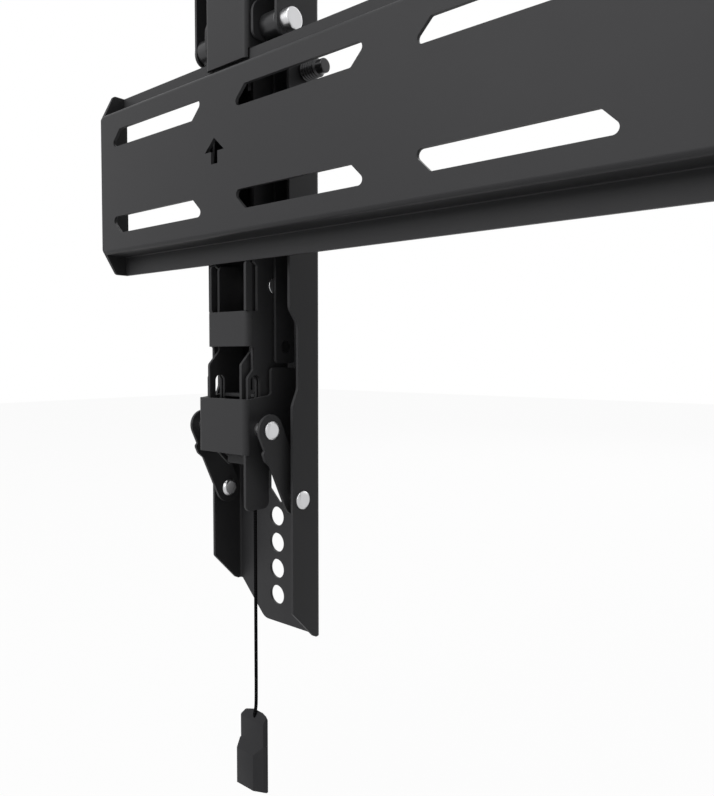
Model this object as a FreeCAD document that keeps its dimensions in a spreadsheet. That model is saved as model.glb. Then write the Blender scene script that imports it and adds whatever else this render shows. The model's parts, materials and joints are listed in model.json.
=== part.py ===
import FreeCAD, Part
import Sketcher
import math
import os
from types import SimpleNamespace

# Tilting TV wall bracket. The origin is the centre of the wall plate's wall face.
# X runs along the plate, Y points into the wall, Z points up. Millimetres.

doc = FreeCAD.newDocument("tv_wall_bracket")

SIZES = {
    # wall plate
    "plate_length": 564.6,
    "plate_gauge": 1.5,
    "plate_bend": 0.5,
    "panel_half": 34.15,
    "lip_depth": 13.8,
    "lip_top": 45.1,
    "lip_bottom": 43.4,
    "end_slope_inner": 2.0,
    "end_slope_outer": 9.0,
    "slot_row": 20.75,
    "slot_height": 8.1,
    "slot_run": 64.1,
    "slot_slant": 8.3,
    "slot_inset": 22.2,
    "slot_margin": 8.1,
    "slot_sharp": 2.0,
    "slot_blunt": 1.2,
    "arrow_offset": 4.8,
    "arrow_tip": 6.8,
    "arrow_base": 1.2,
    "arrow_foot": 4.0,
    "arrow_half": 6.2,
    "stem_half": 2.1,
    # both arms
    "arm_spacing": 400.0,
    "gauge": 1.5,
    "bend": 1.0,
    "rail_room": 4.4,
    "snug": 0.03,
    "running": 0.08,
    "gap": 0.3,
    "open_pivot_gap": 0.5,
    # pivots, as depth from the wall and height
    "tilt_pivot_depth": 21.0,
    "tilt_pivot_rise": 10.3,
    "arm_pivot_depth": 30.5,
    "arm_pivot_drop": 80.25,
    "link_top_depth": 14.5,
    "link_top_rise": 10.6,
    "link_foot_depth": 29.05,
    "link_fall": 31.3,
    # TV rail
    "rail_half": 27.1,
    "rail_top": 215.0,
    "rail_bottom": 210.5,
    "rail_left_end": 194.0,
    "rail_edge": 21.9,
    "rail_ear_edge": 15.1,
    "rail_ear_rise": 34.6,
    "rail_ear_gap": 4.3,
    "rail_waist_edge": 26.9,
    "rail_waist_top": 64.0,
    "rail_waist_foot": 106.0,
    "rail_waist_slope": 7.0,
    "rail_low_edge": 23.5,
    "rail_chamfer": 14.0,
    "rail_chamfer_rise": 12.8,
    "rail_corner_cut": 18.5,
    "rail_corner_round": 6.0,
    "tv_hole_radius": 4.5,
    "tv_hole_pitch": 12.5,
    "tv_hole_high": 202.5,
    "tv_hole_spread": 400.0,
    "spare_hole_drop": 51.5,
    "window_left": 4.8,
    "window_right": 10.0,
    "window_top": 122.0,
    "window_foot": 153.0,
    "window_chamfer": 6.0,
    # tilt arm
    "arm_half": 16.0,
    "arm_lap": 6.1,
    "arm_rim": 6.2,
    "arm_ear_edge": 12.0,
    "arm_ear_rise": 11.6,
    "arm_ear_gap": 4.9,
    "arm_tail": 7.25,
    "arm_web_top": 40.0,
    "arm_web_foot": 40.0,
    # hook bracket
    "hook_half": 13.65,
    "hook_face": 10.1,
    "hook_nose": 4.0,
    "hook_top": 112.0,
    "hook_rim": 3.5,
    "hook_tail": 8.5,
    "prong_edge": 9.3,
    "prong_foot": 65.0,
    "slit_front": 14.7,
    "slit_back": 17.4,
    "band_foot": 80.2,
    "notch_edge": 13.0,
    "notch_foot": 92.0,
    "guide_slot_half": 2.6,
    "guide_slot_above": 23.2,
    "guide_slot_below": 7.1,
    # lock slider
    "slider_half": 11.35,
    "slider_edge": 14.2,
    "slider_low_edge": 8.6,
    "slider_back": 29.5,
    "slider_waist_gap": 1.8,
    "slider_tail": 6.5,
    "slider_web_rise": 1.0,
    "shelf_rise": 1.75,
    # guide box
    "box_half": 16.0,
    "box_face": 6.6,
    "box_neck": 13.25,
    "box_height": 23.75,
    "box_gap": 2.0,
    "box_shoulder_edge": 21.4,
    "box_room": 1.6,
    "box_low_back": 19.9,
    "box_prong": 24.0,
    # links, rivets, bolts
    "link_gap": 2.3,
    "link_radius": 6.8,
    "link_bump": 1.8,
    "rivet_radius": 2.5,
    "rivet_head": 4.0,
    "rivet_rise": 1.7,
    "foot_rivet_radius": 3.0,
    "bolt_radius": 4.0,
    "bolt_head": 4.6,
    "bolt_rise": 4.8,
    "bolt_tip_rise": 2.4,
    "spacer_radius": 5.9,
    "screw_radius": 3.0,
    "screw_depth": 31.4,
    "screw_height": 37.4,
    "screw_reach": 12.2,
    "screw_pitch": 1.0,
    "screw_tip": 4.0,
    "screw_ridge": 0.9,
    # spring, cord and handle
    "spring_radius": 3.2,
    "spring_wire": 0.9,
    "spring_pitch": 4.2,
    "spring_depth": 24.0,
    "cord_side": 5.0,
    "cord_depth": 20.4,
    "cord_width": 1.5,
    "handle_top": 243.6,
    "handle_bottom": 279.5,
    "handle_half": 8.4,
    "handle_side": 0.9,
    "handle_flare": 1.2,
    "handle_lean": 1.6,
    "handle_thin": 2.4,
    "handle_thick": 3.9,
    "handle_step": 259.0,
    "handle_slope": 2.7,
    "handle_corner": 5.0,
    "handle_hole": 1.2,
    "handle_round": 0.8,
}


class Size:
    """A length that keeps both its value and the sheet formula behind it."""

    def __init__(self, formula, value):
        self.formula = formula
        self.value = float(value)

    def joined(self, sign, other, value):
        return Size("(%s %s %s)" % (self.formula, sign, other.formula), value)

    def __add__(self, other):
        other = as_size(other)
        return self.joined("+", other, self.value + other.value)

    def __sub__(self, other):
        other = as_size(other)
        return self.joined("-", other, self.value - other.value)

    def __mul__(self, other):
        other = as_size(other)
        return self.joined("*", other, self.value * other.value)

    def __truediv__(self, other):
        other = as_size(other)
        return self.joined("/", other, self.value / other.value)

    def __neg__(self):
        return self * -1

    def __radd__(self, other):
        return as_size(other) + self

    def __rsub__(self, other):
        return as_size(other) - self

    __rmul__ = __mul__


def as_size(length):
    if isinstance(length, Size):
        return length
    return Size("(%s)" % length, length)


def fill_sheet():
    """Put the sizes in a sheet, and return each as a named Size."""
    sheet = doc.addObject("Spreadsheet::Sheet", "Sizes")
    for row, (name, value) in enumerate(SIZES.items(), 1):
        sheet.set("A%d" % row, name)
        sheet.set("B%d" % row, str(value))
        sheet.setAlias("B%d" % row, name)
    sheet.recompute()
    return SimpleNamespace(**{name: Size("Sizes." + name, value)
                              for name, value in SIZES.items()})


def bind(thing, place, length):
    thing.setExpression(place, as_size(length).formula)


def new_body(name, x=0, y=0, z=0):
    body = doc.addObject("PartDesign::Body", name)
    body.Label = name
    for axis, length in zip("xyz", (x, y, z)):
        bind(body, "Placement.Base." + axis, length)
    return body


def origin_part(body, role):
    return next(part for part in body.Origin.OriginFeatures if part.Role == role)


def fix_point(sketch, line, end, corner):
    for kind, length in zip(("DistanceX", "DistanceY"), corner):
        length = as_size(length)
        row = sketch.addConstraint(
            Sketcher.Constraint(kind, -1, 1, line, end, length.value))
        bind(sketch, "Constraints[%d]" % row, length)


def fix_radius(sketch, arc, radius):
    row = sketch.addConstraint(Sketcher.Constraint("Radius", arc, radius.value))
    bind(sketch, "Constraints[%d]" % row, radius)


def draw_circle(sketch, circle):
    across, up, radius = [as_size(length) for length in circle]
    centre = FreeCAD.Vector(across.value, up.value, 0)
    ring = sketch.addGeometry(
        Part.Circle(centre, FreeCAD.Vector(0, 0, 1), radius.value))
    fix_point(sketch, ring, 3, (across, up))
    fix_radius(sketch, ring, radius)


def arc_between(centre, radius, first, last):
    """The arc that runs anticlockwise from first to last."""
    ring = Part.Circle(centre, FreeCAD.Vector(0, 0, 1), radius)
    angles = [math.atan2(point.y - centre.y, point.x - centre.x)
              for point in (first, last)]
    if angles[1] < angles[0]:
        angles[1] += 2 * math.pi
    return Part.ArcOfCircle(ring, angles[0], angles[1])


def draw_outline(sketch, corners):
    """A closed outline. A corner with a third length is rounded to that radius."""
    count = len(corners)
    points = [FreeCAD.Vector(as_size(corner[0]).value, as_size(corner[1]).value, 0)
              for corner in corners]
    radii = [as_size(corner[2]) if len(corner) > 2 else None for corner in corners]
    back, ahead, reached, left = [], [], [], []
    for spot, point in enumerate(points):
        back.append((points[spot - 1] - point).normalize())
        ahead.append((points[(spot + 1) % count] - point).normalize())
        half = back[spot].getAngle(ahead[spot]) / 2
        run = radii[spot].value / math.tan(half) if radii[spot] else 0
        reached.append(point + back[spot] * run)
        left.append(point + ahead[spot] * run)
    lines = [sketch.addGeometry(Part.LineSegment(left[spot], reached[(spot + 1) % count]))
             for spot in range(count)]
    for spot, corner in enumerate(corners):
        line_in, line_out = lines[spot - 1], lines[spot]
        if not radii[spot]:
            sketch.addConstraint(
                Sketcher.Constraint("Coincident", line_in, 2, line_out, 1))
            fix_point(sketch, line_out, 1, corner[:2])
            continue
        half = back[spot].getAngle(ahead[spot]) / 2
        inward = (back[spot] + ahead[spot]).normalize()
        centre = points[spot] + inward * (radii[spot].value / math.sin(half))
        turns_left = back[spot].cross(ahead[spot]).z < 0
        ends = (reached[spot], left[spot]) if turns_left else (left[spot], reached[spot])
        arc = sketch.addGeometry(arc_between(centre, radii[spot].value, *ends))
        near, far = (1, 2) if turns_left else (2, 1)
        mark = sketch.addGeometry(Part.Point(points[spot]), True)
        fix_point(sketch, mark, 1, corner[:2])
        sketch.addConstraint([
            Sketcher.Constraint("Tangent", line_in, 2, arc, near),
            Sketcher.Constraint("Tangent", arc, far, line_out, 1),
            Sketcher.Constraint("PointOnObject", mark, 1, line_in),
            Sketcher.Constraint("PointOnObject", mark, 1, line_out)])
        fix_radius(sketch, arc, radii[spot])


def draw_bar(sketch, first, last, radius):
    """A bar with round ends about two centres."""
    spots = [FreeCAD.Vector(as_size(across).value, as_size(up).value, 0)
             for across, up in (first, last)]
    along = (spots[1] - spots[0]).normalize()
    side = FreeCAD.Vector(-along.y, along.x, 0) * radius.value
    arcs = [sketch.addGeometry(arc_between(spots[0], radius.value,
                                           spots[0] + side, spots[0] - side)),
            sketch.addGeometry(arc_between(spots[1], radius.value,
                                           spots[1] - side, spots[1] + side))]
    lines = [sketch.addGeometry(Part.LineSegment(spots[0] - side, spots[1] - side)),
             sketch.addGeometry(Part.LineSegment(spots[1] + side, spots[0] + side))]
    sketch.addConstraint([
        Sketcher.Constraint("Tangent", arcs[0], 2, lines[0], 1),
        Sketcher.Constraint("Tangent", lines[0], 2, arcs[1], 1),
        Sketcher.Constraint("Tangent", arcs[1], 2, lines[1], 1),
        Sketcher.Constraint("Tangent", lines[1], 2, arcs[0], 1)])
    fix_point(sketch, arcs[0], 3, first)
    fix_point(sketch, arcs[1], 3, last)
    fix_radius(sketch, arcs[0], radius)


def new_sketch(body, name, plane, face):
    """A sketch on an origin plane, moved along the plane's normal to face."""
    sketch = body.newObject("Sketcher::SketchObject", name)
    sketch.AttachmentSupport = [(origin_part(body, plane + "_Plane"), "")]
    sketch.MapMode = "FlatFace"
    bind(sketch, "AttachmentOffset.Base.z", face)
    return sketch


def fill_sketch(sketch, loops):
    for loop in loops:
        if isinstance(loop, tuple):
            draw_circle(sketch, loop)
        else:
            draw_outline(sketch, loop)
    return sketch


def add(body, name, plane, face, depth, loops):
    """Pad the loops from face along the plane's normal (the XZ plane's is -Y)."""
    sketch = fill_sketch(new_sketch(body, name + "_outline", plane, face), loops)
    pad = body.newObject("PartDesign::Pad", name)
    pad.Profile = sketch
    bind(pad, "Length", depth)
    return pad


def cut(body, name, plane, face, depth, loops):
    """Cut the loops from face along the plane's normal."""
    sketch = fill_sketch(new_sketch(body, name + "_outline", plane, face), loops)
    pocket = body.newObject("PartDesign::Pocket", name)
    pocket.Profile = sketch
    pocket.Reversed = True
    bind(pocket, "Length", depth)
    return pocket


def repeat(body, name, feature, axis, reverse, length, count):
    """Repeat one feature along an origin axis over the whole length."""
    pattern = body.newObject("PartDesign::LinearPattern", name)
    pattern.Originals = [feature]
    pattern.Direction = (origin_part(body, axis + "_Axis"), [""])
    pattern.Reversed = reverse
    bind(pattern, "Length", length)
    pattern.Occurrences = count
    body.Tip = pattern
    return pattern


def turned(name, x, y, z, profile):
    """A round piece whose axis lies along X. Its profile is (along X, radius)."""
    body = new_body(name, x, y, z)
    sketch = fill_sketch(new_sketch(body, name + "_profile", "XY", 0), [profile])
    turn = body.newObject("PartDesign::Revolution", name + "_turn")
    turn.Profile = sketch
    turn.ReferenceAxis = (sketch, ["H_Axis"])
    turn.Angle = 360
    return body


def flange(body, name, side, half, loops):
    """One side wall of a channel: side is 1 for +X and -1 for -X."""
    face = half - s.gauge if side > 0 else -half
    return add(body, name, "YZ", face, s.gauge, loops)


def channel_back(body, name, half, face, toward, low, high):
    """The back of a channel with its two bends; the legs point toward +Y or -Y."""
    outer = s.bend + s.gauge
    leg = face + (outer + s.gauge / 2) * toward
    inner = face + s.gauge * toward
    return add(body, name, "XY", low, high - low, [[
        (-half, leg), (-half, face, outer), (half, face, outer), (half, leg),
        (half - s.gauge, leg), (half - s.gauge, inner, s.bend),
        (-(half - s.gauge), inner, s.bend), (-(half - s.gauge), leg)]])


s = fill_sheet()
s.slot_pitch = (s.plate_length / 2 - s.slot_margin - s.slot_run - s.slot_slant
                - s.slot_inset) / 2
s.tilt_pivot_height = s.lip_top + s.tilt_pivot_rise
s.arm_edge = s.arm_pivot_depth - s.arm_lap
s.arm_back = s.arm_pivot_depth + s.arm_rim
s.hook_back = s.arm_pivot_depth + s.hook_rim
s.mount_depth = s.arm_back + s.rail_room
s.box_back = s.mount_depth - s.gauge - s.box_room
s.link_half = s.rail_half - s.gauge - s.link_gap
s.arm_foot = s.arm_pivot_drop + s.arm_tail
s.box_shoulder = s.arm_foot + s.box_gap
s.box_top = s.box_shoulder + s.box_neck
s.box_foot = s.box_top + s.box_height
s.shelf_drop = s.box_top - s.shelf_rise
s.slider_foot = s.box_foot + s.slider_tail
s.hook_foot = s.box_foot + s.hook_tail
s.link_top_drop = s.box_foot - s.link_top_rise
s.link_foot_drop = s.link_top_drop + s.link_fall
SIDES = (("right", 1), ("left", -1))
pieces = []


def wall_plate():
    body = new_body("wall_plate")
    outer = s.plate_bend + s.plate_gauge
    front = -(s.lip_depth - s.plate_gauge)
    back = -s.lip_depth
    inner = s.panel_half - s.plate_gauge
    half = s.plate_length / 2
    add(body, "folded_sheet", "YZ", -half + s.plate_gauge,
        s.plate_length - s.plate_gauge * 2, [[
            (front, s.lip_top), (front, s.panel_half, s.plate_bend),
            (0, s.panel_half, outer), (0, -s.panel_half, outer),
            (front, -s.panel_half, s.plate_bend), (front, -s.lip_bottom),
            (back, -s.lip_bottom), (back, -inner, outer),
            (-s.plate_gauge, -inner, s.plate_bend),
            (-s.plate_gauge, inner, s.plate_bend),
            (back, inner, outer), (back, s.lip_top)]])
    corner = s.panel_half - outer
    low_slope = s.lip_bottom - s.end_slope_inner
    for word, side in SIDES:
        face = half - s.plate_gauge if side > 0 else -half
        add(body, word + "_end", "YZ", face, s.plate_gauge, [[
            (0, -corner, s.end_slope_inner),
            (-s.end_slope_outer, -s.lip_bottom, s.end_slope_inner),
            (back, -s.lip_bottom), (back, s.lip_top),
            (-s.end_slope_outer, s.lip_top, s.end_slope_inner),
            (0, corner, s.end_slope_inner)]])
    for word, side in SIDES:
        edge = (half - s.slot_margin) * side
        run, slant = s.slot_run * side, s.slot_slant * side
        slots = []
        for row in (1, -1):
            near = (s.slot_row - s.slot_height / 2) * row
            far = (s.slot_row + s.slot_height / 2) * row
            slots.append([(edge, near, s.slot_sharp), (edge - run, near, s.slot_blunt),
                          (edge - run - slant, far, s.slot_sharp),
                          (edge - slant, far, s.slot_blunt)])
        first = cut(body, word + "_slots", "XZ", -1, s.plate_gauge + 2, slots)
        repeat(body, word + "_slot_row", first, "X", side > 0, s.slot_pitch * 2, 3)
    middle = s.arm_spacing / 2 - s.arrow_offset
    cut(body, "up_arrow", "XZ", -1, s.plate_gauge + 2, [[
        (middle, s.arrow_tip), (middle + s.arrow_half, s.arrow_base),
        (middle + s.stem_half, s.arrow_base), (middle + s.stem_half, -s.arrow_foot),
        (middle - s.stem_half, -s.arrow_foot), (middle - s.stem_half, s.arrow_base),
        (middle - s.arrow_half, s.arrow_base)]])
    return body


def tv_rail(name, x):
    body = new_body(name, x)
    face = -s.mount_depth
    root = face + s.bend + s.gauge
    edge, ear, low = -s.rail_edge, -s.rail_ear_edge, -s.rail_low_edge
    waist, foot = -s.rail_waist_edge, -s.rail_waist_foot
    ear_top = s.tilt_pivot_height + s.rail_ear_rise
    ear_foot = s.lip_top + s.rail_ear_gap
    channel_back(body, "back", s.rail_half, face, 1, -s.rail_left_end, s.rail_top)
    add(body, "low_back", "XZ", s.mount_depth - s.gauge, s.gauge, [[
        (s.rail_half - s.bend - s.gauge, -s.rail_left_end),
        (s.rail_half - s.rail_corner_cut, -s.rail_bottom, s.rail_corner_round),
        (-s.rail_half + s.bend + s.gauge, -s.rail_bottom),
        (-s.rail_half + s.bend + s.gauge, -s.rail_left_end)]])
    add(body, "low_bend", "XY", -s.rail_bottom, s.rail_bottom - s.rail_left_end, [[
        (-s.rail_half, root + s.gauge / 2), (-s.rail_half, face, s.bend + s.gauge),
        (-s.rail_half + s.bend + s.gauge * 2, face),
        (-s.rail_half + s.bend + s.gauge * 2, face + s.gauge),
        (-s.rail_half + s.gauge, face + s.gauge, s.bend),
        (-s.rail_half + s.gauge, root + s.gauge / 2)]])
    for word, side in SIDES:
        end = -s.rail_left_end if side > 0 else -s.rail_bottom
        reach = root - s.gauge * 3
        wall = [
            (root, s.rail_top), (root + s.gauge * 2, s.rail_top, s.gauge),
            (edge, s.rail_top - s.rail_chamfer, s.gauge * 2),
            (edge, ear_top, s.gauge),
            (ear, ear_top - (s.rail_edge - s.rail_ear_edge), s.gauge),
            (ear, ear_foot, s.gauge * 3),
            (edge, ear_foot - s.gauge / 2, s.gauge),
            (edge, -s.rail_waist_top, s.gauge * 3),
            (waist, -s.rail_waist_top - s.rail_waist_slope, s.gauge * 3),
            (waist, foot + s.gauge * 5, s.gauge * 3),
            (low, foot, s.gauge * 3),
            (low, end + s.rail_chamfer, s.gauge),
            (low - s.rail_chamfer_rise, end + s.gauge / 2, s.gauge),
            (root, end)]
        holes = [
            (-s.tilt_pivot_depth, s.tilt_pivot_height, s.bolt_radius + s.snug),
            (-s.link_foot_depth, -s.link_foot_drop, s.foot_rivet_radius + s.snug)]
        if side < 0:
            holes.append((-s.screw_depth, s.screw_height, s.screw_radius + s.snug))
        flange(body, word + "_wall", side, s.rail_half, [wall] + holes)
    through = s.gauge + 2
    for word, height, down in (
            ("low", s.tv_hole_high - s.tv_hole_spread, False),
            ("high", s.tv_hole_high, True)):
        first = cut(body, word + "_tv_hole", "XZ", s.mount_depth - s.gauge - 1, through,
                    [(0, height, s.tv_hole_radius)])
        repeat(body, word + "_tv_holes", first, "Z", down, s.tv_hole_pitch * 3, 4)
    cut(body, "window", "XZ", s.mount_depth - s.gauge - 1, through, [
        (0, -s.spare_hole_drop, s.tv_hole_radius),
        [(s.window_left, -s.window_top, s.gauge),
         (s.window_left, -s.window_foot + s.window_chamfer),
         (s.window_left - s.window_chamfer, -s.window_foot),
         (-s.window_right, -s.window_foot, s.gauge),
         (-s.window_right, -s.window_top, s.gauge)]])
    return body


def tilt_arm(name, x):
    body = new_body(name, x)
    root = -s.arm_back + s.bend + s.gauge
    edge, ear = -s.arm_edge, -s.arm_ear_edge
    ear_top = s.tilt_pivot_height + s.arm_ear_rise
    ear_foot = s.lip_top + s.arm_ear_gap
    channel_back(body, "back", s.arm_half, -s.arm_back, 1, -s.arm_web_foot, s.arm_web_top)
    bore = s.running
    for word, side in SIDES:
        flange(body, word + "_wall", side, s.arm_half, [
            [(root, ear_top, s.gauge * 3), (ear, ear_top, s.gauge * 5),
             (ear, ear_foot, s.gauge * 2), (edge + s.gauge * 2, ear_foot - s.gauge, s.gauge),
             (edge, ear_foot - s.gauge * 6, s.gauge * 2),
             (edge, -s.arm_foot, s.gauge), (root - s.gauge, -s.arm_foot, s.gauge),
             (root - s.gauge, -s.arm_web_foot - s.gauge * 4, s.gauge),
             (root, -s.arm_web_foot - s.gauge * 2, s.gauge)],
            (-s.tilt_pivot_depth, s.tilt_pivot_height, s.bolt_radius + bore),
            (-s.arm_pivot_depth, -s.arm_pivot_drop, s.rivet_radius + bore)])
    return body


def guide_slot(below):
    """The upright slot about the upper rivets, down to a length below them."""
    front, behind = -s.link_top_depth + s.guide_slot_half, -s.link_top_depth - s.guide_slot_half
    top, foot = -s.link_top_drop + s.guide_slot_above, -s.link_top_drop - below
    round_end = s.guide_slot_half * 0.98
    return [(behind, top, round_end), (front, top, round_end),
            (front, foot, round_end), (behind, foot, round_end)]


def hook_bracket(name, x):
    body = new_body(name, x)
    face = -s.hook_face
    root = face - s.bend - s.gauge
    seat = s.lip_top + s.gap / 3
    behind = -s.lip_depth - s.gap
    under = -s.lip_bottom - s.gap * 2
    channel_back(body, "hook", s.hook_half, face, -1, s.lip_top - s.hook_nose, s.hook_top)
    cut(body, "lip_room", "YZ", -s.hook_half - 1, s.hook_half * 2 + 2, [[
        (face - s.gauge, seat), (behind - 1, seat), (behind - 1, seat - s.hook_nose * 2),
        (face - s.gauge, seat - s.hook_nose * 2)]])
    channel_back(body, "band", s.hook_half, face, -1, -s.band_foot, -s.prong_foot)
    for word, side in SIDES:
        flange(body, word + "_wall", side, s.hook_half, [
            [(root, s.hook_top), (root, seat + s.gauge), (behind, seat),
             (behind, under), (-s.slit_back, under - s.gauge),
             (-s.slit_back, -s.prong_foot, s.gauge / 2),
             (-s.slit_front, -s.prong_foot, s.gauge / 2),
             (-s.slit_front, under, s.gauge), (-s.prong_edge, under, s.gauge),
             (-s.prong_edge, -s.prong_foot + s.gauge), (root, -s.prong_foot),
             (root, -s.band_foot), (-s.notch_edge, -s.band_foot - s.gauge / 2, s.gauge / 4),
             (-s.notch_edge, -s.notch_foot + s.gauge, s.gauge),
             (face, -s.notch_foot - s.gauge, s.gauge),
             (face, -s.hook_foot + s.gauge * 8, s.gauge),
             (face - s.gauge * 8, -s.hook_foot, s.gauge),
             (-s.hook_back, -s.hook_foot + s.gauge * 8, s.gauge * 2),
             (-s.hook_back, s.hook_top, s.gauge * 2)],
            guide_slot(s.guide_slot_below), (-s.arm_pivot_depth, -s.arm_pivot_drop, s.rivet_radius + s.snug)])
    return body


def lock_slider(name, x):
    body = new_body(name, x)
    top = -s.lip_bottom - s.gap
    back = -s.slider_back
    root = back + s.bend + s.gauge
    waist = -s.band_foot - s.slider_waist_gap
    web_top = -s.shelf_drop + s.slider_web_rise
    slant = s.gauge * 9
    channel_back(body, "back", s.slider_half, back, 1, -s.slider_foot, web_top)
    for word, side in SIDES:
        flange(body, word + "_wall", side, s.slider_half, [
            [(-s.slider_edge, top, s.gauge * 2), (-s.slider_edge, waist, s.gauge),
             (-s.slider_low_edge, waist - s.gauge * 4, s.gauge),
             (-s.slider_low_edge, -s.slider_foot + slant, s.gauge),
             (-s.slider_low_edge - slant, -s.slider_foot, s.gauge / 2),
             (root, -s.slider_foot), (root, web_top), (root - s.gauge, web_top + s.gauge * 2),
             (root, top, s.gauge * 2)],
            guide_slot(s.guide_slot_below / 2)])
    inside = s.slider_half - s.gauge / 2
    flap = s.slider_foot - s.box_foot - s.gauge
    for word, drop, front in (("spring_shelf", s.shelf_drop, s.slider_edge + s.gauge * 2),
                              ("cord_shelf", s.slider_foot - s.gauge,
                               s.cord_depth - s.cord_width)):
        add(body, word, "XY", -drop - s.gauge, s.gauge, [[
            (-inside, -front), (inside, -front),
            (inside, back + s.gauge / 2), (-inside, back + s.gauge / 2)]])
    add(body, "cord_flap", "XZ", s.cord_depth - s.cord_width, s.gauge / 2, [[
        (-inside, -s.slider_foot), (inside, -s.slider_foot),
        (inside, -s.slider_foot + flap), (-inside, -s.slider_foot + flap)]])
    return body


def guide_box(name, x):
    body = new_body(name, x)
    face = -s.box_face
    root = face - s.bend - s.gauge
    channel_back(body, "front", s.box_half, face, -1, -s.box_foot, -s.box_top)
    inside = s.slider_half - s.gauge - s.gap
    add(body, "spring_tab", "XY", -s.box_foot, s.gauge, [[
        (-inside, face - s.gauge / 2), (inside, face - s.gauge / 2),
        (inside, -s.spring_depth - s.spring_radius), (-inside, -s.spring_depth - s.spring_radius)]])
    for word, side in SIDES:
        shoulder = [(root, -s.box_top),
                    (-s.box_shoulder_edge, -s.box_top + s.gauge, s.gauge),
                    (-s.box_shoulder_edge, -s.box_shoulder, s.gauge),
                    (-s.box_back, -s.box_shoulder, s.gauge)]
        foot = [(-s.box_back, -s.box_foot, s.gauge * 2), (root, -s.box_foot)]
        if side < 0:
            foot = [(-s.box_back, -s.box_foot, s.gauge * 2),
                    (-s.box_low_back, -s.box_foot - s.gauge * 5, s.gauge),
                    (-s.box_low_back, -s.box_foot - s.box_prong, s.gauge * 2),
                    (face, -s.box_foot - s.box_prong, s.gauge * 2), (face, -s.box_foot),
                    (root, -s.box_foot)]
        flange(body, word + "_wall", side, s.box_half, [
            shoulder + foot,
            (-s.link_top_depth, -s.link_top_drop, s.rivet_radius + s.snug)])
    return body


def link(name, x, side):
    body = new_body(name, x)
    face = s.link_half - s.gauge if side > 0 else -s.link_half
    top = (-s.link_top_depth, -s.link_top_drop)
    foot = (-s.link_foot_depth, -s.link_foot_drop)
    sketch = new_sketch(body, name + "_outline", "YZ", face)
    draw_bar(sketch, top, foot, s.link_radius)
    draw_circle(sketch, (top[0], top[1], s.rivet_radius + s.running))
    draw_circle(sketch, (foot[0], foot[1], s.foot_rivet_radius + s.open_pivot_gap))
    pad = body.newObject("PartDesign::Pad", name + "_plate")
    pad.Profile = sketch
    bind(pad, "Length", s.gauge)
    reach = s.link_radius * 1.1 + s.link_bump
    axis = [(top[0] - (s.link_foot_depth - s.link_top_depth) * share,
             top[1] - s.link_fall * share) for share in (0.27, 0.27, 0.42, 0.8)]
    add(body, name + "_bump", "YZ", face, s.gauge, [[
        axis[0], (axis[1][0] + reach, axis[1][1], s.gauge),
        (axis[2][0] + reach, axis[2][1], s.gauge), axis[3]]])
    return body


def rivets(word, x):
    """The silver pivots of one arm, on both of its sides."""
    made = []
    for side_word, side in SIDES:
        link_in = s.link_half - s.gauge
        made.append(turned("%s_upper_rivet_%s" % (word, side_word), x,
                           -s.link_top_depth, -s.link_top_drop, [
            ((s.hook_half - s.gauge) * side, 0),
            ((s.hook_half - s.gauge) * side, s.rivet_radius),
            ((s.box_half + s.snug) * side, s.rivet_radius),
            ((s.box_half + s.snug) * side, s.rivet_radius + s.gap * 2),
            ((link_in - s.running) * side, s.rivet_radius + s.gap * 2),
            ((link_in - s.running) * side, s.rivet_radius),
            ((s.link_half + s.running) * side, s.rivet_radius),
            ((s.link_half + s.running) * side, s.rivet_head),
            ((s.link_half + s.rivet_rise / 2) * side, s.rivet_head, s.rivet_rise / 4),
            ((s.link_half + s.rivet_rise) * side, s.rivet_head * 0.7, s.rivet_rise),
            ((s.link_half + s.rivet_rise) * side, 0)]))
        made.append(turned("%s_lower_rivet_%s" % (word, side_word), x,
                           -s.link_foot_depth, -s.link_foot_drop, [
            ((link_in - s.rivet_rise) * side, 0),
            ((link_in - s.rivet_rise) * side, s.rivet_head * 0.8, s.rivet_rise / 2),
            ((link_in - s.gap) * side, s.rivet_head),
            ((link_in - s.gap) * side, s.foot_rivet_radius),
            ((s.rail_half + s.snug) * side, s.foot_rivet_radius),
            ((s.rail_half + s.snug) * side, s.rivet_head),
            ((s.rail_half + s.rivet_rise / 2) * side, s.rivet_head, s.rivet_rise / 4),
            ((s.rail_half + s.rivet_rise) * side, s.rivet_head * 0.7, s.rivet_rise),
            ((s.rail_half + s.rivet_rise) * side, 0)]))
        made.append(turned("%s_arm_rivet_%s" % (word, side_word), x,
                           -s.arm_pivot_depth, -s.arm_pivot_drop, [
            ((s.hook_half - s.gauge) * side, 0),
            ((s.hook_half - s.gauge) * side, s.rivet_radius),
            ((s.hook_half + s.snug) * side, s.rivet_radius),
            ((s.hook_half + s.snug) * side, s.rivet_head),
            ((s.arm_half - s.gauge - s.running) * side, s.rivet_head),
            ((s.arm_half - s.gauge - s.running) * side, s.rivet_radius),
            (s.arm_half * side, s.rivet_radius), (s.arm_half * side, 0)]))
        rise = s.bolt_tip_rise if side > 0 else s.bolt_rise
        made.append(turned("%s_pivot_bolt_%s" % (word, side_word), x,
                           -s.tilt_pivot_depth, s.tilt_pivot_height, [
            ((s.hook_half + s.gap) * side, 0),
            ((s.hook_half + s.gap) * side, s.bolt_radius),
            ((s.rail_half + s.snug) * side, s.bolt_radius),
            ((s.rail_half + s.snug) * side, s.bolt_head),
            ((s.rail_half + rise) * side, s.bolt_head, s.gauge / 2),
            ((s.rail_half + rise) * side, 0)]))
        made.append(turned("%s_pivot_spacer_%s" % (word, side_word), x,
                           -s.tilt_pivot_depth, s.tilt_pivot_height, [
            ((s.arm_half + s.running) * side, s.bolt_radius + s.snug),
            ((s.arm_half + s.running) * side, s.spacer_radius, s.gauge / 3),
            ((s.rail_half - s.gauge - s.snug) * side, s.spacer_radius, s.gauge / 3),
            ((s.rail_half - s.gauge - s.snug) * side, s.bolt_radius + s.snug)]))
    return made


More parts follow.
